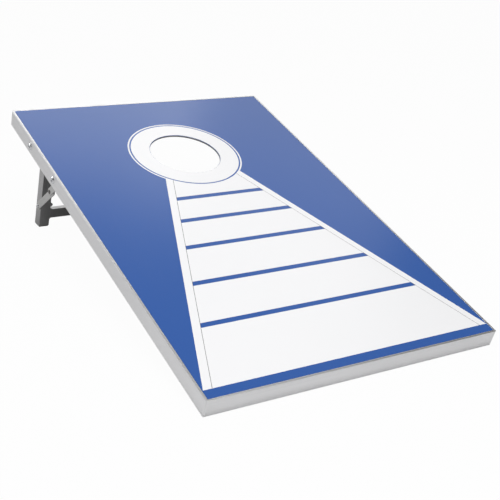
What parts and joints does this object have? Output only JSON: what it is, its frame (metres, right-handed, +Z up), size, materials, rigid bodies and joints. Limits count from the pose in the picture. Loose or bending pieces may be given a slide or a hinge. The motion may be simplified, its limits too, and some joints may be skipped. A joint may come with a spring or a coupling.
{
  "type": "cornhole board",
  "caption": "Sloping bag-toss board: printed panel with a round hole in a mitred aluminium frame, on folding rear legs with hinged stays.",
  "frame": {"origin": "on the ground, under the middle of the part's box", "axes": "+X across the board, +Y up the slope from the low end to the high end, +Z up"},
  "size_m": [0.617, 0.8976, 0.2415],
  "materials": {
    "printed_panel": "satin print on a rigid sheet",
    "frame_aluminium": "satin anodised, drawn lengthwise",
    "cast_aluminium": "as cast",
    "mill_aluminium": "mill finish",
    "leg_aluminium": "satin anodised",
    "stay_steel": "zinc plated strip",
    "zinc_fastener": "bright zinc plate",
    "black_nylon": "moulded",
    "foot_plastic": "moulded, slightly soft"
  },
  "bodies": {
    "board": {"playing_panel": "printed_panel", "frame_left": "frame_aluminium", "frame_right": "frame_aluminium", "frame_low_end": "frame_aluminium", "frame_high_end": "frame_aluminium", "corner_key_low_left": "cast_aluminium", "corner_key_low_right": "cast_aluminium", "corner_key_high_left": "cast_aluminium", "corner_key_high_right": "cast_aluminium", "corner_key_screws": "zinc_fastener", "support_rib_low": "mill_aluminium", "support_rib_high": "mill_aluminium", "rib_bracket_low_left": "mill_aluminium", "rib_bracket_low_right": "mill_aluminium", "rib_bracket_high_left": "mill_aluminium", "rib_bracket_high_right": "mill_aluminium", "rib_bracket_screws": "zinc_fastener", "leg_pivot_bolts": "zinc_fastener", "leg_pivot_spacers": "black_nylon", "leg_pivot_washers": "zinc_fastener", "leg_pivot_nuts": "zinc_fastener", "stay_frame_bolts": "zinc_fastener", "stay_frame_washers": "zinc_fastener", "stay_frame_nuts": "zinc_fastener", "frame_bolt_sleeves": "zinc_fastener"},
    "legs": {"leg_left": "leg_aluminium", "leg_right": "leg_aluminium", "leg_pivot_bush_left": "black_nylon", "leg_pivot_bush_right": "black_nylon", "foot_cap_left": "foot_plastic", "foot_cap_right": "foot_plastic", "leg_crossbar": "leg_aluminium", "crossbar_welds": "leg_aluminium", "stay_leg_bolts": "zinc_fastener", "stay_leg_spacers": "zinc_fastener", "stay_leg_washers": "zinc_fastener", "stay_leg_nuts": "zinc_fastener"},
    "stay_upper_left": {"stay_upper_left": "stay_steel", "elbow_rivet_outer_left": "zinc_fastener"},
    "stay_lower_left": {"stay_lower_left": "stay_steel", "elbow_rivet_inner_left": "zinc_fastener"},
    "stay_upper_right": {"stay_upper_right": "stay_steel", "elbow_rivet_outer_right": "zinc_fastener"},
    "stay_lower_right": {"stay_lower_right": "stay_steel", "elbow_rivet_inner_right": "zinc_fastener"}
  },
  "joints": [
    {"name": "leg_fold", "type": "hinge", "parent": "board", "child": "legs", "pos_m": [0, 0.32624, 0.19696], "axis": [-1, 0, 0], "range_deg": [0, 89]},
    {"name": "stay_upper_left_swing", "type": "hinge", "parent": "board", "child": "stay_upper_left", "pos_m": [-0.2832, 0.19831, 0.16695], "axis": [1, 0, 0], "range_deg": [0, 46.01]},
    {"name": "stay_lower_left_swing", "type": "hinge", "parent": "legs", "child": "stay_lower_left", "pos_m": [-0.2762, 0.35676, 0.0506], "axis": [-1, 0, 0], "range_deg": [0, 44.99]},
    {"name": "stay_upper_right_swing", "type": "hinge", "parent": "board", "child": "stay_upper_right", "pos_m": [0.2832, 0.19831, 0.16695], "axis": [1, 0, 0], "range_deg": [0, 46.01]},
    {"name": "stay_lower_right_swing", "type": "hinge", "parent": "legs", "child": "stay_lower_right", "pos_m": [0.2762, 0.35676, 0.0506], "axis": [-1, 0, 0], "range_deg": [0, 44.99]}
  ],
  "couplings": [
    {"joint": "stay_upper_left_swing", "follows": "leg_fold", "ratio": 0.517},
    {"joint": "stay_lower_left_swing", "follows": "leg_fold", "ratio": 0.50547},
    {"joint": "stay_upper_right_swing", "follows": "leg_fold", "ratio": 0.517},
    {"joint": "stay_lower_right_swing", "follows": "leg_fold", "ratio": 0.50547}
  ]
}
